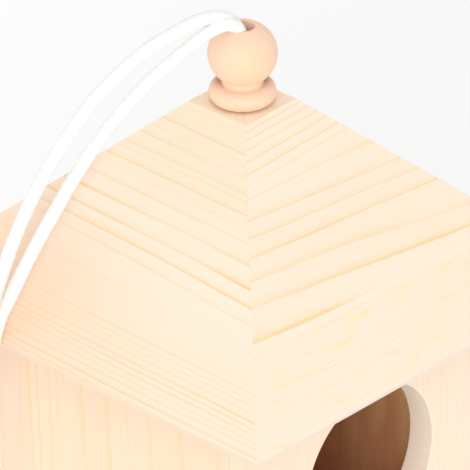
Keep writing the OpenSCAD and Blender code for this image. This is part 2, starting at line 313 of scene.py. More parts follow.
def cut(shape, at, away):
    """Cuts off what lies on the away side of a plane, and closes the cut."""
    geom = shape.verts[:] + shape.edges[:] + shape.faces[:]
    made = bmesh.ops.bisect_plane(shape, geom=geom, dist=1e-8, plane_co=at,
                                  plane_no=away, clear_outer=True)
    bmesh.ops.edgeloop_fill(shape, edges=only(bmesh.types.BMEdge, made["geom_cut"]))
    bmesh.ops.recalc_face_normals(shape, faces=shape.faces)


def ease(shape, edges, width, rounds=3):
    """Rounds the given edges by width, in mm, and makes only the rounding smooth."""
    made = bmesh.ops.bevel(shape, geom=edges, offset=width * MM, offset_type="OFFSET",
                           affect="EDGES", segments=rounds, profile=0.5, material=-1,
                           clamp_overlap=True)
    for face in made["faces"]:
        face.smooth = True


def carve(made, cutters):
    """Takes the cutters' volume out of a piece, with an exact boolean."""
    mesh = bpy.data.meshes.new("cutters")
    cutters.to_mesh(mesh)
    cutters.free()
    tool = bpy.data.objects.new("cutters", mesh)
    bpy.context.scene.collection.objects.link(tool)
    hole = made.modifiers.new("holes", "BOOLEAN")
    hole.operation, hole.solver, hole.object = "DIFFERENCE", "EXACT", tool
    ready = made.evaluated_get(bpy.context.evaluated_depsgraph_get())
    result = bpy.data.meshes.new_from_object(ready)
    made.modifiers.clear()
    old, made.data = made.data, result
    result.name = made.name
    bpy.data.objects.remove(tool)
    bpy.data.meshes.remove(mesh)
    bpy.data.meshes.remove(old)


def drum(shape, centre, axis, radius, length, flare=0.0, sides=96):
    """Adds a cylinder along axis, in mm, with flared ends that round a hole's rims."""
    start = len(shape.verts)
    turn_to = Vector((0, 0, 1)).rotation_difference(Vector(axis)).to_matrix().to_4x4()
    outline = [(radius, -length / 2)]
    if flare:
        past = 0.5
        outline = [(radius + flare + past, -length / 2 - past)]
        outline += [(radius + flare * (1 - math.sin(a)),
                     -length / 2 + flare * (1 - math.cos(a)))
                    for a in [math.radians(x) for x in (0, 22.5, 45, 67.5, 90)]]
    outline += [(r, -z) for r, z in reversed(outline)]
    dots = [shape.verts.new((r * MM, 0, z * MM)) for r, z in outline]
    edges = [shape.edges.new(pair) for pair in zip(dots, dots[1:])]
    bmesh.ops.spin(shape, geom=dots + edges, cent=(0, 0, 0), axis=(0, 0, 1),
                   angle=math.tau, steps=sides, use_merge=True)
    shape.verts.ensure_lookup_table()
    new = shape.verts[start:]
    bmesh.ops.remove_doubles(shape, verts=new, dist=1e-7)
    shape.verts.ensure_lookup_table()
    new = shape.verts[start:]
    rim = [e for e in shape.edges if e.is_boundary]
    bmesh.ops.holes_fill(shape, edges=rim, sides=0)
    bmesh.ops.transform(shape, verts=new,
                        matrix=Matrix.Translation(Vector(centre) * MM) @ turn_to)
    bmesh.ops.recalc_face_normals(shape, faces=shape.faces)
    for face in shape.faces:
        face.smooth = len(face.verts) == 4
    return shape


# %% One roof panel, turned four times
def roof_panel(turns):
    uncut = half_roof + 5 * MM
    eave_in = (-half_roof + board * math.sin(slope), eave_z - board * math.cos(slope))
    outline = [(-half_roof, eave_z), (-half_flat, flat_z), (0, flat_z),
               (0, inner_z(0)), eave_in]
    shape = bmesh.new()
    face = shape.faces.new([shape.verts.new((-uncut, y, z)) for y, z in outline])
    grown = bmesh.ops.extrude_face_region(shape, geom=[face])
    bmesh.ops.translate(shape, vec=(2 * uncut, 0, 0),
                        verts=only(bmesh.types.BMVert, grown["geom"]))
    for sign in (-1, 1):
        cut(shape, (0, 0, 0), (sign, 1, 0))
    hips = [e for e in shape.edges
            if all(abs(abs(v.co.x) + v.co.y) < TINY for v in e.verts)
            and all(v.co.z > inner_z(abs(v.co.y)) + 100 * TINY for v in e.verts)
            and max(abs(v.co.x) for v in e.verts) > 100 * TINY]
    ease(shape, hips, HIP_EASE, 2)
    level = [e for e in shape.edges
             if all(v.co.y < -half_flat + EDGE_EASE * MM for v in e.verts)
             and abs((e.verts[0].co - e.verts[1].co).normalized().x) > 0.99
             and e.calc_length() > half_flat]
    ease(shape, level, EAVE_EASE)
    bmesh.ops.rotate(shape, cent=(0, 0, 0), verts=shape.verts,
                     matrix=Matrix.Rotation(turns * math.pi / 2, 3, "Z"))
    return shape


SIDES = (("front", 0), ("right", 1), ("back", 2), ("left", 3))
roof = {}
for side_name, turns in SIDES:
    made = piece(roof_panel(turns), "panel_" + side_name, ["roof_panel_" + side_name])
    carve(made, drum(bmesh.new(), (0, 0, flat_z / MM - 2), (0, 0, 1), 3.5, 12, sides=92))
    roof[side_name] = made
    count(made)

# %% [markdown]
# ## Walls
#
# The front and back walls are as wide as the house, and the side walls stand between
# them. All four tops are bevelled to the panels' undersides, so each wall is a block
# cut by roof planes. The entrance is bored with a drum whose ends flare a little: what
# is left has sanded rims. Small pockets take the heads of the brads.

# %% A wall with its top cut to the roof
def wall(width, meets_corners):
    high = inner_z(half_in) + 1 * MM
    shape = bmesh.new()
    bmesh.ops.create_cube(shape, size=1)
    bmesh.ops.scale(shape, vec=(width, board, high), verts=shape.verts)
    bmesh.ops.translate(shape, vec=(0, -half_box + board / 2, high / 2), verts=shape.verts)
    top = Vector((0, 0, inner_z(0)))
    cut(shape, top, (0, -math.sin(slope), math.cos(slope)))
    if meets_corners:
        for sign in (-1, 1):
            cut(shape, top, (sign * math.sin(slope), 0, math.cos(slope)))
        # the side walls are glued to the two inner corners, which stay sharp
        tight = [e for e in shape.edges
                 if all(abs(abs(v.co.x) - half_box) < TINY for v in e.verts)
                 and abs(e.verts[0].co.y - e.verts[1].co.y) < TINY
                 and e.verts[0].co.y > -half_in - TINY]
        ease(shape, [e for e in shape.edges if e not in tight], EDGE_EASE)
    return shape


def pockets(shape, spots):
    """Recesses for brad heads in the wall that faces -Y."""
    for x, z in spots:
        drum(shape, (x, -half_box / MM, z), (0, 1, 0), BRAD_HEAD, 1.64, sides=24)
    return shape


# %% The four walls
BRAD_HEAD = 1.42
corner_brads = [(sign * (half_box - board / 2) / MM, z)
                for sign in (-1, 1) for z in (32, 66.03, 100.07)]
floor_brads = [(sign * 28, 14.5) for sign in (-1, 1)]
entrance_r, entrance_z = 27.5, 69.5

walls = {}
for side_name, turns in SIDES:
    ends = side_name in ("front", "back")
    shape = wall(2 * half_box if ends else 2 * half_in, ends)
    made = piece(shape, "wall_" + side_name, [side_name + "_wall"])
    tools = pockets(bmesh.new(), (corner_brads if ends else []) + floor_brads)
    if side_name == "front":
        drum(tools, (0, -(half_box - board / 2) / MM, entrance_z), (0, 1, 0), entrance_r,
             board / MM, flare=0.3, sides=128)
    carve(made, tools)
    made.data.transform(Matrix.Rotation(turns * math.pi / 2, 4, "Z"))
    walls[side_name] = made
    count(made)

# %% [markdown]
# ## Floor and clean-out cover
#
# The floor is a square board with four drain holes, a large clean-out hole and the hole
# of the pivot screw. The cover below it is a disc with an ear: two discs joined by
# their tangents, drawn as one outline and extruded. It rides on its own body, so it
# turns about the screw.

# %% Floor
floor_lo, floor_hi = [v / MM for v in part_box("floor_panel")]
cover_lo, cover_hi = [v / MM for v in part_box("cleanout_cover")]
floor_mid, cover_mid = (floor_lo + floor_hi).z / 2, (cover_lo + cover_hi).z / 2
pivot = (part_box("cover_washer")[0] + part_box("cover_washer")[1]) / 2 / MM
reach, cover_turn = 27.5, math.radians(-8)
hole_at = (pivot.x + reach * math.cos(cover_turn), pivot.y + reach * math.sin(cover_turn),
           floor_mid)

shape = bmesh.new()
bmesh.ops.create_cube(shape, size=1)
bmesh.ops.scale(shape, vec=(floor_hi - floor_lo) * MM, verts=shape.verts)
bmesh.ops.translate(shape, vec=(floor_hi + floor_lo) / 2 * MM, verts=shape.verts)
ease(shape, shape.edges[:], EDGE_EASE, 2)
floor_board = piece(shape, "floor_board", ["floor_panel"])
tools = bmesh.new()
drain = 35.8
for sx in (-1, 1):
    for sy in (-1, 1):
        drum(tools, (sx * drain, sy * drain, floor_mid), (0, 0, 1), 2.5, 9, 0.2, 32)
drum(tools, hole_at, (0, 0, 1), 20, 9, 0.4)
drum(tools, (pivot.x, pivot.y, floor_mid), (0, 0, 1), 1.79, 9.4, sides=32)
carve(floor_board, tools)
count(floor_board)

# %% Clean-out cover
cover_r, ear_r = 24.0, 7.0
open_turn = math.pi - math.acos((cover_r - ear_r) / reach)
shape = bmesh.new()
dot = shape.verts.new((reach + cover_r * math.cos(-open_turn),
                       cover_r * math.sin(-open_turn), 0))
dot.co *= MM
bmesh.ops.spin(shape, geom=[dot], cent=(reach * MM, 0, 0), axis=(0, 0, 1),
               angle=2 * open_turn, steps=72)
dot = shape.verts.new((ear_r * math.cos(open_turn), ear_r * math.sin(open_turn), 0))
dot.co *= MM
bmesh.ops.spin(shape, geom=[dot], cent=(0, 0, 0), axis=(0, 0, 1),
               angle=2 * (math.pi - open_turn), steps=16)
loose = [v for v in shape.verts if len(v.link_edges) == 1]
loose.sort(key=lambda v: v.co.y)
shape.edges.new((loose[0], loose[1]))
shape.edges.new((loose[2], loose[3]))
bmesh.ops.edgeloop_fill(shape, edges=shape.edges[:])
grown = bmesh.ops.extrude_face_region(shape, geom=shape.faces[:])
bmesh.ops.translate(shape, vec=(0, 0, (cover_hi.z - cover_lo.z) * MM),
                    verts=only(bmesh.types.BMVert, grown["geom"]))
bmesh.ops.recalc_face_normals(shape, faces=shape.faces)
for face in shape.faces:
    face.smooth = len(face.verts) == 4
rims = [e for e in shape.edges if any(len(f.verts) > 4 for f in e.link_faces)]
ease(shape, rims, 0.5)
bmesh.ops.rotate(shape, cent=(0, 0, 0), verts=shape.verts,
                 matrix=Matrix.Rotation(cover_turn, 3, "Z"))
bmesh.ops.translate(shape, vec=Vector((pivot.x, pivot.y, cover_lo.z)) * MM,
                    verts=shape.verts)
cover = piece(shape, "cover_disc", ["cleanout_cover"], body="cover")
carve(cover, drum(bmesh.new(), (pivot.x, pivot.y, cover_mid), (0, 0, 1), 1.83, 5.6,
                  sides=48))
count(cover)

# %% [markdown]
# ## Knob
#
# A knob is turned on a lathe, so half of its outline is spun round the axis. The
# outline itself is drawn by spinning single points about the centres of its arcs: a
# half circle for the collar's rim, a fillet into the neck, and the ball, whose upper
# half is a little flat. The bore of the cord comes down through the middle.

# %% Knob
ball_r, crown, neck_r, collar_h = 10.25, 0.94, 6.2, 6.0
collar_c, rim_r, hole_r = 7.2, 2.75, 3.5
neck_outline = ((6.85, 5.95), (6.55, 5.93), (6.3, 6.08), (neck_r, 6.35), (neck_r, 6.75),
                (6.27, 7.1), (6.42, 7.48), (6.66, 7.82))
foot = flat_z / MM
ball_z = foot + collar_h + 1.44 + math.sqrt(ball_r ** 2 - neck_r ** 2)
ball_from = -47.0
ball_to = math.degrees(math.acos((hole_r + 0.8) / ball_r))


def go(shape, dot, r, z):
    """A straight step of the outline to (r, z)."""
    end = shape.verts.new((r * MM, 0, z * MM))
    shape.edges.new((dot, end))
    return end


def sweep(shape, dot, r, z, degrees, steps):
    """An arc of the outline about (r, z), counter-clockwise for positive degrees."""
    made = bmesh.ops.spin(shape, geom=[dot], cent=(r * MM, 0, z * MM), axis=(0, -1, 0),
                          angle=math.radians(degrees), steps=steps)
    return only(bmesh.types.BMVert, made["geom_last"])[0]


shape = bmesh.new()
dot = first = shape.verts.new((hole_r * MM, 0, foot * MM))
dot = go(shape, dot, collar_c - 0.6, foot)
dot = go(shape, dot, collar_c, foot + 0.02)
rim_start = len(shape.verts)
dot = sweep(shape, dot, collar_c, foot + collar_h / 2, 180, 32)
shape.verts.ensure_lookup_table()
for v in shape.verts[rim_start:]:
    v.co.x = (collar_c + (v.co.x / MM - collar_c) * rim_r / (collar_h / 2)) * MM
for r, z in neck_outline:
    dot = go(shape, dot, r, foot + z)
dot = go(shape, dot, ball_r * math.cos(math.radians(ball_from)),
         ball_z + ball_r * math.sin(math.radians(ball_from)))
ball_start = len(shape.verts)
dot = sweep(shape, dot, 0, ball_z, ball_to - ball_from, 64)
shape.verts.ensure_lookup_table()
for v in shape.verts[ball_start:]:
    if v.co.z > ball_z * MM:
        v.co.z = (ball_z + (v.co.z / MM - ball_z) * crown) * MM
rim_z = dot.co.z / MM
for r, z in ((0.4, 0.06), (0.12, -0.06), (0, -0.4)):
    dot = go(shape, dot, hole_r + r, rim_z + z)
shape.edges.new((dot, first))
bmesh.ops.spin(shape, geom=shape.verts[:] + shape.edges[:], cent=(0, 0, 0),
               axis=(0, 0, 1), angle=math.tau, steps=128, use_merge=True)
bmesh.ops.remove_doubles(shape, verts=shape.verts, dist=1e-7)
bmesh.ops.recalc_face_normals(shape, faces=shape.faces)
knob = piece(shape, "turned_knob", ["knob"], smooth=50)
count(knob)

# %% [markdown]
# ## Finishes
#
# A finish is a node tree on a Principled shader. The short helpers below add a node
# and return its output, so that a recipe reads like a sum. Colours are given as they
# look on a screen, and turned into the linear values that the shader wants.


# %% A small tree of shader nodes
def seen(red, green, blue):
    """A screen colour, 0 to 255, as linear RGBA."""
    parts = [c / 255 for c in (red, green, blue)]
    return [c / 12.92 if c <= 0.04045 else ((c + 0.055) / 1.055) ** 2.4
            for c in parts] + [1.0]


class Finish:
    """A material's node tree, and short ways to add to it."""

    def __init__(self, name, roughness, **skin):
        self.material = bpy.data.materials.new(name)
        self.material.use_nodes = True
        self.nodes = self.material.node_tree.nodes
        self.links = self.material.node_tree.links
        self.nodes.clear()
        self.skin = self.nodes.new("ShaderNodeBsdfPrincipled")
        self.skin.inputs["Roughness"].default_value = roughness
        for socket, value in skin.items():
            self.skin.inputs[socket.replace("_", " ")].default_value = value
        out = self.nodes.new("ShaderNodeOutputMaterial")
        self.links.new(self.skin.outputs[0], out.inputs[0])

    def node(self, kind, *values, **settings):
        """A new node; values fill its inputs in order, None leaves one alone."""
        made = self.nodes.new("ShaderNode" + kind)
        for name, value in settings.items():
            setattr(made, name, value)
        for socket, value in zip(made.inputs, values):
            self.plug(socket, value)
        return made

    def plug(self, socket, value):
        if isinstance(value, bpy.types.NodeSocket):
            self.links.new(value, socket)
        elif value is not None:
            socket.default_value = value

    def calc(self, how, *values):
        return self.node("Math", *values, operation=how).outputs[0]

    def hypot(self, a, b):
        squares = self.calc("MULTIPLY_ADD", a, a, self.calc("MULTIPLY", b, b))
        return self.calc("SQRT", squares)

    def point(self, x, y, z):
        return self.node("CombineXYZ", x, y, z).outputs[0]

    def along(self, where, direction, start):
        """How far a point is along a direction, in mm."""
        off = self.node("VectorMath", where, tuple(start), operation="SUBTRACT").outputs[0]
        dot = self.node("VectorMath", off, tuple(Vector(direction) / MM),
                        operation="DOT_PRODUCT")
        return dot.outputs["Value"]

    def noise(self, where, scale=1.0, detail=2.0, rough=0.5):
        made = self.node("TexNoise")
        for socket, value in (("Vector", where), ("Scale", scale), ("Detail", detail),
                              ("Roughness", rough)):
            self.plug(made.inputs[socket], value)
        return made.outputs["Fac"]

    def span(self, value, low, high, to_low=0.0, to_high=1.0):
        made = self.node("MapRange", value, low, high, to_low, to_high)
        return made.outputs[0]

    def curve(self, value, dots):
        """A curve with straight pieces through (x, y) dots."""
        xs, ys = [d[0] for d in dots], [d[1] for d in dots]
        x0, x1, y0, y1 = xs[0], xs[-1], min(ys), max(ys)
        if y0 == y1:
            return y0
        made = self.node("FloatCurve")
        line = made.mapping.curves[0]
        while len(line.points) < len(dots):
            line.points.new(0.5, 0.5)
        for spot, (x, y) in zip(line.points, dots):
            spot.location = ((x - x0) / (x1 - x0), (y - y0) / (y1 - y0))
            spot.handle_type = "VECTOR"
        made.mapping.update()
        self.plug(made.inputs["Value"], self.span(value, x0, x1))
        return self.span(made.outputs[0], 0, 1, y0, y1)

    def ramp(self, value, stops, how="LINEAR"):
        made = self.node("ValToRGB", value)
        band = made.color_ramp
        band.interpolation = how
        while len(band.elements) < len(stops):
            band.elements.new(1.0)
        for stop, (place, shade) in zip(band.elements, stops):
            stop.position = place
            stop.color = shade if isinstance(shade, list) else (shade, shade, shade, 1)
        return made.outputs[0]

    def mix(self, share, a, b, how="MIX"):
        made = self.node("Mix", data_type="RGBA", blend_type=how)
        self.plug(made.inputs["Factor"], share)
        self.plug(made.inputs[6], a)
        self.plug(made.inputs[7], b)
        return made.outputs[2]

    def finish(self, colour, relief=None, depth=0.0, roughness=None):
        self.plug(self.skin.inputs["Base Color"], colour)
        if roughness is not None:
            self.plug(self.skin.inputs["Roughness"], roughness)
        if relief is not None:
            bump = self.node("Bump")
            bump.inputs["Strength"].default_value = 1.0
            bump.inputs["Distance"].default_value = depth * MM
            self.plug(bump.inputs["Height"], relief)
            self.plug(self.skin.inputs["Normal"], bump.outputs[0])
        return self.material


# %% [markdown]
# ## Pine
#
# A pine board shows its growth rings as pale early wood that darkens slowly to orange
# late wood and ends sharply. It could be a stretched wave texture, but that repeats
# evenly, and no real board does. Here the rings are laid out in millimetres: `growth`
# says how many rings there are up to a distance across the board, so wide rings and
# fine ones can be set as on a real board. `lean` lets the rings drift across the grain.

# %% A finish that knows its board
def board_finish(name, along, across, start, seed):
    """Adds how far a point is along the grain (u), across it (v) and into the board
    (w), in mm from start."""
    wood = Finish(name, 0.62, Specular_IOR_Level=0.25)
    wood.where = wood.node("TexCoord").outputs["Object"]
    wood.u = wood.along(wood.where, along, start)
    wood.v = wood.along(wood.where, across, start)
    wood.w = wood.along(wood.where, Vector(along).cross(Vector(across)), start)
    wood.seed = seed
    return wood


def grain_noise(wood, along, across, detail, shift=0.0, side_shift=0.0, rough=0.5):
    """Noise with so many waves per mm along the grain and across it."""
    place = wood.point(wood.calc("MULTIPLY_ADD", wood.u, along, shift),
                       wood.calc("MULTIPLY_ADD", wood.v, across, side_shift),
                       wood.calc("MULTIPLY", wood.w, across))
    return wood.noise(place, 1, detail, rough)


# %% [markdown]
# Noise bends the rings, and lets their strength change along the board. The rings also
# move on with the depth in the board, by `steep`, so that the lines turn over an edge.

# %% Growth rings
def ring_lines(wood, growth, strength, late=0.8, lean=((-99, 0), (99, 0)),
               lean_from=0.0, wander=0.5, ripple=((0, 1), (1, 1)), steep=0.6, ends=None):
    """How much late wood a point shows, from 0 to about 1."""
    slow = grain_noise(wood, 0.011, 0.035, 1, wood.seed)
    quick = grain_noise(wood, 0.05, 0.2, 2, wood.seed + 7)
    origin = lean_from(wood) if callable(lean_from) else lean_from
    drift = wood.calc("MULTIPLY", wood.curve(wood.v, lean),
                      wood.calc("SUBTRACT", wood.u, origin))
    s = wood.calc("SUBTRACT", wood.v, drift)
    s = wood.calc("MULTIPLY_ADD", wood.calc("SUBTRACT", slow, 0.5), 4 * wander, s)
    s = wood.calc("MULTIPLY_ADD", wood.calc("SUBTRACT", quick, 0.5),
                  wood.calc("MULTIPLY", wander, wood.curve(wood.v, ripple)), s)
    s = wood.calc("MULTIPLY_ADD", wood.w, steep, s)

    # which ring, and how far through it
    rings = wood.curve(s, growth)
    number = wood.calc("FLOOR", rings)
    profile = wood.ramp(wood.calc("FRACT", rings),
                        [(0.0, 0.12), (0.05, 0.0), (0.5, 0.04), (late, 0.3),
                         (late + 0.5 * (1 - late), 1.0), (0.97, 1.0), (1.0, 0.12)])
    top = max(n for n, _ in strength) + 1
    force = wood.ramp(wood.calc("DIVIDE", wood.calc("ADD", number, 0.5), top),
                      [(n / top, x) for n, x in strength], "CONSTANT")
    uneven = wood.noise(wood.point(wood.calc("MULTIPLY_ADD", wood.u, 0.018, wood.seed),
                                   wood.calc("MULTIPLY", number, 3.71), wood.seed), 1, 1)
    line = wood.calc("MULTIPLY", wood.calc("MULTIPLY", profile, force),
                     wood.span(uneven, 0.3, 0.7, 0.45, 1.25))
    return wood.calc("MULTIPLY", line, ends(wood, number)) if ends else line


# %% [markdown]
# The sides of a board get colours of their own. The inner face is painted darker, a
# painted shade for the inside of the house; the eave's end is painted greyer than the
# outer face, a painted shade for a face that looks down; and the bored entrance is
# painted paler, a painted light. Each is found by its distance from the outer face, from
# the flat top or from the middle of the entrance.

# %% Colours of the sides of a board
def bored(wood, colour):
    """The entrance's bored face, painted paler than the wall: a painted light."""
    reach = wood.hypot(wood.calc("SUBTRACT", wood.u, entrance_z), wood.v)
    inside = wood.span(reach, entrance_r + 0.25, entrance_r + 0.05, 0.0, 0.8)
    return wood.mix(inside, colour, seen(255, 240, 222))


def shaded_inner_face(wood, colour, line, patch, inner):
    # The inner face is painted darker and redder: a painted shade for the inside of the
    # house, with patches of tone and ring lines on it.
    warmer = tuple(c + d for c, d in zip(inner, (14, 26, 14)))
    face = wood.mix(wood.span(patch, 0.4, 0.6), seen(*inner), seen(*warmer))
    face = wood.mix(wood.calc("MULTIPLY", line, 0.5), face, seen(196, 136, 92))
    return wood.mix(wood.span(wood.w, 8.9, 8.98), colour, face)


def shaded_eave_and_collar(wood, colour, fibre, eave_shade):
    """The eave's end in a painted shade, the flat top, and a painted contact shadow at the
    knob's collar.
    """
    # The eave's end is painted greyer than the face, a painted shade for a face that looks
    # down; darker fibres run through it.
    rougher = tuple(c - d for c, d in zip(eave_shade, (6, 12, 18)))
    grey = wood.mix(wood.span(fibre, 0.35, 0.65), seen(*eave_shade), seen(*rougher))
    colour = wood.mix(wood.span(wood.v, 87.2, 87.4), colour, grey)
    colour = wood.mix(wood.span(wood.v, 0.1, -0.3, 0.0, 0.6), colour, seen(251, 233, 212))
    # A dark ring round the foot of the knob's collar is a painted contact shadow.
    level = wood.node("VectorMath", wood.where, (1 / MM, 1 / MM, 0), operation="MULTIPLY")
    reach = wood.node("VectorMath", level.outputs[0], operation="LENGTH").outputs["Value"]
    return wood.mix(wood.span(reach, 9.4, 10.1, 0.2, 0.0), colour, seen(196, 146, 108))


# %% Colours of a board
def board_colour(wood, line, fibre, pale=(247, 232, 209), amber=(240, 210, 158),
                 tone=((0, 0.3), (1, 0.3)), cord_shade=None, strip=None, fibres=0.2,
                 flame=None, bore=False, inner=(216, 152, 110), eave_shade=None):
    """The colour of a board with its ring lines, and the lines that are left."""
    fleck = grain_noise(wood, 0.35, 2.1, 2, 0.0, wood.seed)
    patch = grain_noise(wood, 0.02, 0.06, 2, wood.seed + 3)
    warm = tuple(c - d for c, d in zip(pale, (0, 7, 16)))
    warmth = wood.calc("MULTIPLY_ADD", wood.calc("SUBTRACT", patch, 0.5), 0.6,
                       wood.curve(wood.v, tone))
    colour = wood.mix(warmth, seen(*pale), seen(*warm))
    if cord_shade:
        # a pinker patch: the painted shade of the cord on the panel below it
        colour = wood.mix(cord_shade(wood), colour, seen(246, 212, 185))
    if strip:
        # the side of a wall, where another board is glued on
        beside = wood.span(wood.calc("ABSOLUTE", wood.v), 50.6, 50.9)
        colour = wood.mix(beside, colour, seen(*strip))
        faint = wood.calc("SUBTRACT", 1.0, wood.calc("MULTIPLY", beside, 0.6))
        line = wood.calc("MULTIPLY", line, faint)
    colour = wood.mix(line, colour, seen(*amber))
    colour = wood.mix(wood.span(fibre, 0.35, 0.7, 0.0, fibres), colour, seen(234, 204, 168))
    colour = wood.mix(wood.span(fleck, 0.64, 0.8, 0.0, 0.26), colour, seen(230, 190, 148))
    if flame:
        blotch = wood.span(grain_noise(wood, 0.07, 0.3, 2, wood.seed + 11), 0.52, 0.72)
        colour = wood.mix(wood.calc("MULTIPLY", blotch, wood.curve(wood.v, flame)), colour,
                          seen(246, 222, 172))
    if bore:
        colour = bored(wood, colour)
    colour = shaded_inner_face(wood, colour, line, patch, inner)
    # painted shade on the eave's end and round the knob's collar
    if eave_shade:
        colour = shaded_eave_and_collar(wood, colour, fibre, eave_shade)
    return colour, line


# %% A whole board
def pine(name, along, across, start, seed, rings, tones):
    wood = board_finish(name, along, across, start, seed)
    line = ring_lines(wood, **rings)
    fibre = grain_noise(wood, 0.09, 3.4, 3, rough=0.6)
    colour, line = board_colour(wood, line, fibre, **tones)
    relief = wood.calc("MULTIPLY_ADD", fibre, 0.5, wood.calc("MULTIPLY", line, 0.6))
    worn = wood.calc("MULTIPLY_ADD", fibre, 0.3, wood.calc("MULTIPLY", line, -0.4))
    return wood.finish(colour, relief, 0.05, wood.span(worn, -0.4, 0.3, 0.5, 0.7))


def turned(direction, turns):
    return Matrix.Rotation(turns * math.pi / 2, 3, "Z") @ Vector(direction)


def give(made, finish):
    made.data.materials.clear()
    made.data.materials.append(finish)


# %% [markdown]
# The four roof panels come from two boards. Both lie with the grain along the eave.
# The facing one has wide rings that lean towards the left hip, and fine, flaming ones
# near the eave. The side one has fine rings near the eave; on the left panel it gets a
# pinker patch towards the back, which is the painted shade of the cord.
# A strength holds from its ring's number on, until the next pair.

# %% Board of the front and back panels
def left_hip(wood):
    """Where the left hip lies along the eave."""
    return wood.calc("MULTIPLY_ADD", wood.v, -math.cos(slope), -half_flat / MM)


def last_ring_fades(wood, number):
    """The lowest wide ring thins out before the middle."""
    is_last = wood.calc("COMPARE", number, 13.0, 0.5)
    gone = wood.calc("MULTIPLY", is_last, wood.span(wood.u, -24, 2))
    return wood.calc("SUBTRACT", 1.0, gone)


FACING_RINGS = {
    "growth": ((-12, -3), (0.6, 1), (2.2, 2), (4.4, 3), (6.9, 4), (10, 5), (13.4, 6),
               (16.3, 7), (20, 8), (25.4, 9), (30, 10), (35.4, 11), (41.3, 12),
               (47.9, 13), (56.9, 14), (61, 15), (100, 58)),
    "strength": ((0, 0.8), (4, 1.0), (5, 0.8), (6, 0.5), (7, 0.5), (8, 0.7), (9, 0.65),
                 (10, 0.85), (11, 0.65), (12, 0.9), (14, 0.5), (57, 0.5)),
    "lean": ((-12, -0.03), (16, -0.03), (25, 0.077), (35, 0.07), (41, 0.065), (48, 0.11),
             (57, 0.1), (66, 0.0), (100, 0.0)),
    "lean_from": left_hip,
    "ripple": ((-12, 1), (58, 1), (66, 8), (100, 5)),
    "ends": last_ring_fades}
FACING_TONES = {
    "tone": ((-12, 0.1), (16, 0.1), (32, 0.4), (52, 0.35), (64, 0.0), (100, 0.0)),
    "flame": ((-12, 0), (56, 0), (62, 0.7), (87, 0.5), (100, 0.5)),
    # the last colour is the painted shade of the eave's end
    "pale": (247, 230, 212), "amber": (240, 210, 158), "eave_shade": (247, 232, 224)}


# %% Board of the side panels
def cord_shade_patch(wood):
    # Where the cord hangs over the left panel, towards its back end, the wood is painted
    # pinker: a painted shade of the cord.
    return wood.calc("MULTIPLY", wood.span(wood.u, 30, -45), wood.span(wood.v, 38, 62))


SIDE_RINGS = {
    "growth": ((-12, -4), (2.5, 1), (5.2, 2), (8.1, 3), (11.2, 4), (14.4, 5), (18.7, 6),
               (20.6, 7), (24.4, 8), (28, 9), (31.9, 10), (37.5, 11), (43.8, 12),
               (48.5, 13), (53, 14), (60, 15), (68, 16), (70, 17), (71.8, 18),
               (73.4, 19), (75.2, 20), (77.3, 21), (78.9, 22), (80.5, 23), (82.2, 24),
               (84, 25), (86.2, 26), (100, 34)),
    "strength": ((0, 0.3), (2, 0.8), (3, 0.4), (4, 0.7), (5, 0.5), (7, 0.9), (8, 0.25),
                 (9, 0.45), (10, 1.0), (11, 0.95), (12, 0.9), (13, 0.6), (14, 0.15),
                 (16, 0.6), (20, 0.95), (22, 0.75), (25, 1.0), (26, 0.8)),
    "lean": ((-12, 0.0), (20, 0.005), (37, 0.02), (50, 0.05), (60, 0.02), (100, 0.015)),
    "lean_from": 60.0}
SIDE_TONES = {
    "tone": ((-12, 0.5), (24, 0.45), (36, 0.1), (42, 0.0), (54, 0.0), (62, 0.35),
             (100, 0.4)),
    # the last colour is the painted shade of the eave's end
    "pale": (247, 226, 207), "amber": (238, 202, 152), "eave_shade": (247, 223, 203)}
# The left panel gets the cord's painted shade.
CORD_SHADED_TONES = dict(SIDE_TONES, cord_shade=cord_shade_patch)

# %% Pine of the four roof panels
down = (0, -math.cos(slope), -math.sin(slope))
for (side_name, turns), rings, tones, wander, seed in zip(
        SIDES, (FACING_RINGS, SIDE_RINGS, FACING_RINGS, SIDE_RINGS),
        (FACING_TONES, SIDE_TONES, FACING_TONES, CORD_SHADED_TONES),
        (0.5, 0.9, 0.9, 0.45), (0.0, 5.3, 9.1, 2.2)):
    give(roof[side_name],
         pine("pine panel " + side_name, turned((1, 0, 0), turns), turned(down, turns),
              turned((0, -half_flat, flat_z), turns), seed, dict(rings, wander=wander),
              tones))
    print(side_name, "panel:", len(rings["growth"]), "marks of growth")

# %% [markdown]
# The walls stand with the grain upright. The front and back walls are fine-grained all
# over, and the side walls have a few wide streaks that lean a little.

# %% Pine of the walls
FINE = {"growth": ((-60, 0), (60, 112)), "lean": ((-60, 0), (60, 0.001)),
        "lean_from": 95.0, "wander": 0.25, "steep": 0.15}
STREAKED = {"growth": ((-60, 0), (-45.4, 1), (-38.5, 2), (-35.4, 3), (-30, 4), (-27, 5),
                       (-16, 6), (-6, 7), (1.5, 8), (11, 9), (24, 10), (38, 11),
                       (60, 13)),
            "lean": ((-60, -0.06), (60, -0.045)), "lean_from": 95.0, "wander": 0.8}
FINE_TONES = {"pale": (253, 234, 218), "amber": (242, 210, 168), "fibres": 0.25,
              "strip": (250, 224, 201)}
STREAKED_TONES = {"pale": (250, 224, 201), "amber": (242, 210, 168), "fibres": 0.4}

wall_wood = (
    (dict(FINE, strength=((0, 0.45), (112, 0.45)), late=0.45), dict(FINE_TONES, bore=True)),
    (dict(STREAKED, strength=((0, 0.5), (13, 0.45))), STREAKED_TONES),
    (dict(FINE, strength=((0, 0.4), (112, 0.45)), late=0.5), FINE_TONES),
    (dict(STREAKED, strength=((0, 0.7), (2, 0.95), (3, 0.55), (13, 0.55))),
     STREAKED_TONES))
for (side_name, turns), (rings, tones) in zip(SIDES, wall_wood):
    give(walls[side_name],
         pine("pine wall " + side_name, (0, 0, 1), turned((1, 0, 0), turns),
              turned((0, -half_box, 0), turns), 3.0 + turns, rings, tones))
    print(side_name, "wall:", "fine" if tones["fibres"] < 0.3 else "streaked")

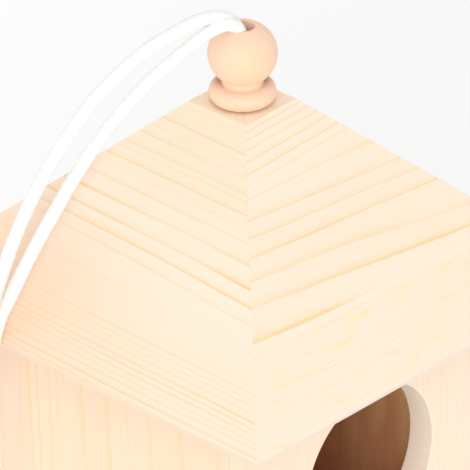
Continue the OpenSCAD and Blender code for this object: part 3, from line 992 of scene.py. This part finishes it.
# %% Pine of the floor, the cover and the glue block
PLAIN = {"growth": ((-60, 0), (-20, 12), (15, 18), (60, 40)),
         "strength": ((0, 0.6), (40, 0.5)), "wander": 1.2}
PLAIN_TONES = {"pale": (248, 226, 192), "amber": (232, 186, 128)}
for made, along, across, seed in (
        (floor_board, (1, 0, 0), (0, 1, 0), 11.0),
        (cover, (0, 1, 0), (1, 0, 0), 15.0),
        (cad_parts["apex_block"], (0, 1, 0), (1, 0, 0), 19.0)):
    give(made, pine("pine " + made.name, along, across, (0, 0, 0), seed, PLAIN,
                    PLAIN_TONES))

# %% [markdown]
# ## Beech, cotton and steel
#
# Turned beech is closer in grain and pinker than pine, with short dark flecks. Cotton
# reads the tube's own coordinates, so its yarns follow the cord through every bend.
# The brads, the washer and the screw are bright steel with fine scratches.

# %% Beech: fibres, growth and flecks
beech = Finish("turned beech", 0.5, Specular_IOR_Level=0.3)
where = beech.node("TexCoord").outputs["Object"]
x, y, z = (beech.along(where, axis, (0, 0, 0.175))
           for axis in ((1, 0, 0), (0, 1, 0), (0, 0, 1)))


def beech_noise(by_x, by_y, by_z, detail, rough=0.5):
    """Noise with so many waves per mm along each axis; the grain is upright."""
    place = beech.point(beech.calc("MULTIPLY", x, by_x), beech.calc("MULTIPLY", y, by_y),
                        beech.calc("MULTIPLY", z, by_z))
    return beech.noise(place, 1, detail, rough)


fibre = beech_noise(1.6, 1.6, 0.16, 3, 0.6)
growth = beech_noise(0.25, 0.05, 0.02, 1)
fleck = beech_noise(3.2, 3.2, 0.9, 1)
bands = beech.calc("SINE", beech.calc("MULTIPLY_ADD", x, 1.3,
                                      beech.calc("MULTIPLY", growth, 9)))
lathe = beech.calc("SINE", beech.calc("MULTIPLY", z, 19.0))

# %% [markdown]
# A ball cut from a straight-grained blank shows ovals where its surface runs along the
# rings: here about a yellower heart on its front left. The ovals are measured in the
# plane whose normal is `outwards`. The groove above the collar is painted dark on the
# side away from it, a painted shade, and the neck is painted paler than the rest, a
# painted light.

# %% Beech: the ball's ovals, the groove and the neck
outwards = Vector((-0.63725, -0.59, 0.49579))
sideways = Vector((0.67938, -0.73379, 0.0))
heart = Vector((-6.6, -7.6, 191.6)) * MM
oval = beech.hypot(beech.along(where, sideways, heart),
                   beech.along(where, outwards.cross(sideways), heart))
oval = beech.calc("MULTIPLY_ADD", growth, 3.0, oval)
late = beech.span(beech.calc("SINE", beech.calc("MULTIPLY", oval, 2.4)), -1, 1, 0, 0.22)
colour = beech.mix(beech.span(oval, 2.5, 9.0), seen(245, 208, 168), seen(245, 208, 182))
colour = beech.mix(late, colour, seen(240, 200, 166))
colour = beech.mix(beech.span(bands, -1, 1, 0, 0.2), colour, seen(240, 204, 172))
colour = beech.mix(beech.span(fibre, 0.3, 0.7, 0, 0.3), colour, seen(238, 202, 172))
colour = beech.mix(beech.span(fleck, 0.7, 0.78, 0, 0.4), colour, seen(214, 164, 126))

# The groove above the collar is painted dark on the side away from `outwards`: a painted
# shade.
groove = beech.calc("MULTIPLY", beech.span(beech.hypot(x, y), 9.3, 6.6),
                    beech.span(z, 6.6, 6.0))
groove = beech.calc("MULTIPLY", groove, beech.span(z, 3.4, 4.6))
far_side = beech.span(beech.along(where, outwards, (0, 0, flat_z + 6 * MM)), 4.0, -1.5)
colour = beech.mix(beech.calc("MULTIPLY", groove, far_side), colour, seen(160, 108, 88))
# The neck is painted paler than the rest: a painted light.
neck_light = beech.calc("MULTIPLY", beech.span(z, 6.0, 6.4), beech.span(z, 8.6, 7.4))
colour = beech.mix(beech.calc("MULTIPLY", neck_light, 0.35), colour, seen(254, 234, 212))

# one small pore is open on the ball
pore = beech.node("VectorMath", where, tuple(Vector((-5.9, -4.6, 197.5)) * MM),
                  operation="DISTANCE").outputs["Value"]
colour = beech.mix(beech.span(pore, 0.1 * MM, 0.6 * MM, 0.3, 0.0), colour,
                   seen(176, 120, 84))
relief = beech.calc("MULTIPLY_ADD", lathe, 0.06, fibre)
beech_wood = beech.finish(colour, relief, 0.02)

# %% Cotton
cotton = Finish("braided cotton", 0.85, Specular_IOR_Level=0.15, Sheen_Weight=0.25,
                Sheen_Roughness=0.5)
own_map = cotton.node("SeparateXYZ", cotton.node("UVMap", uv_map="along").outputs[0])
around, run = own_map.outputs[0], cotton.calc("MULTIPLY", own_map.outputs[1],
                                              cord_length / PICK)
weave = cotton.calc("SUBTRACT",
                    cotton.calc("COSINE", cotton.calc("MULTIPLY", run, math.tau)),
                    cotton.calc("COSINE", cotton.calc("MULTIPLY", around,
                                                      math.tau * BUNDLES)))
ply = cotton.calc("SINE", cotton.calc("MULTIPLY_ADD", around, math.tau * 40,
                                      cotton.calc("MULTIPLY", run, math.tau * 3)))
lint = cotton.noise(cotton.node("TexCoord").outputs["Object"], 2600, 3, 0.7)
# The hollows between the bundles are painted greyer: a painted shade in the braid.
hollow_shade = cotton.span(weave, -1.6, 0.2, 0.2, 0.0)
colour = cotton.mix(hollow_shade, seen(241, 241, 239), seen(216, 215, 211))
colour = cotton.mix(cotton.span(lint, 0.35, 0.75, 0, 0.12), colour, seen(222, 220, 214))
relief = cotton.calc("ADD", cotton.calc("MULTIPLY", ply, 0.25), lint)
cotton_yarn = cotton.finish(colour, relief, 0.035)

# %% Steel
steel = Finish("bright steel", 0.32, Metallic=1.0)
where = steel.node("TexCoord").outputs["Object"]
scratch = steel.noise(where, 1400, 4, 0.7)
dull = steel.noise(where, 320, 2)
colour = steel.mix(steel.span(dull, 0.35, 0.7), seen(206, 207, 210), seen(176, 176, 178))
gloss = steel.span(scratch, 0.3, 0.7, 0.24, 0.42)
bright_steel = steel.finish(colour, scratch, 0.01, gloss)

# %% Give each remaining piece its finish
for made in (knob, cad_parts["knot_washer"]):
    give(made, beech_wood)
for made in (hanging, knot):
    give(made, cotton_yarn)
for node in ("front_corner_brads", "back_corner_brads", "floor_brads", "cover_washer",
             "cover_screw"):
    give(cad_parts[node], bright_steel)
print(len(bpy.data.materials), "finishes")

# %% [markdown]
# ## Floor and light
#
# The house stands on a plain pale floor in very soft, bright light. The sky is white
# from all around, and two large lamps on the front left add a little direction: a weak
# one from above, and a stronger one at half the height. The floor is so bright that it
# and the sky run together. Its underside lets light through, so that the house can
# also be looked at from below.

# %% Floor
ground = bmesh.new()
bmesh.ops.create_grid(ground, x_segments=1, y_segments=1, size=30)
mesh = bpy.data.meshes.new("ground")
ground.to_mesh(mesh)
ground.free()
ground = bpy.data.objects.new("ground", mesh)
bpy.context.scene.collection.objects.link(ground)

paint = Finish("pale floor", 0.9, Specular_IOR_Level=0.0)
ground.data.materials.append(paint.finish(seen(255, 255, 255)))
both_sides = paint.node("MixShader", paint.node("NewGeometry").outputs["Backfacing"],
                        paint.skin.outputs[0], paint.node("BsdfTransparent").outputs[0])
paint.plug(paint.nodes["Material Output"].inputs[0], both_sides.outputs[0])

# %% Sky and lamps
world = bpy.data.worlds.new("white sky")
bpy.context.scene.world = world
world.use_nodes = True
sky = world.node_tree.nodes["Background"]
sky.inputs["Color"].default_value = (1, 1, 1, 1)
sky.inputs["Strength"].default_value = 0.92


def lamp(name, place, target, size, watts):
    light = bpy.data.lights.new(name, "AREA")
    light.shape, light.size, light.energy = "DISK", size, watts
    made = bpy.data.objects.new(name, light)
    bpy.context.scene.collection.objects.link(made)
    made.location = place
    made.rotation_mode = "QUATERNION"
    made.rotation_quaternion = (Vector(target) - Vector(place)).to_track_quat("-Z", "Y")


lamp("key", (-1.45, -1.7, 1.3), (0, 0, 0.1), 1.4, 5)
lamp("fill", (-2.0, -1.3, 0.7), (0, 0, 0.1), 1.0, 16)
bpy.context.scene.view_settings.view_transform = "Standard"
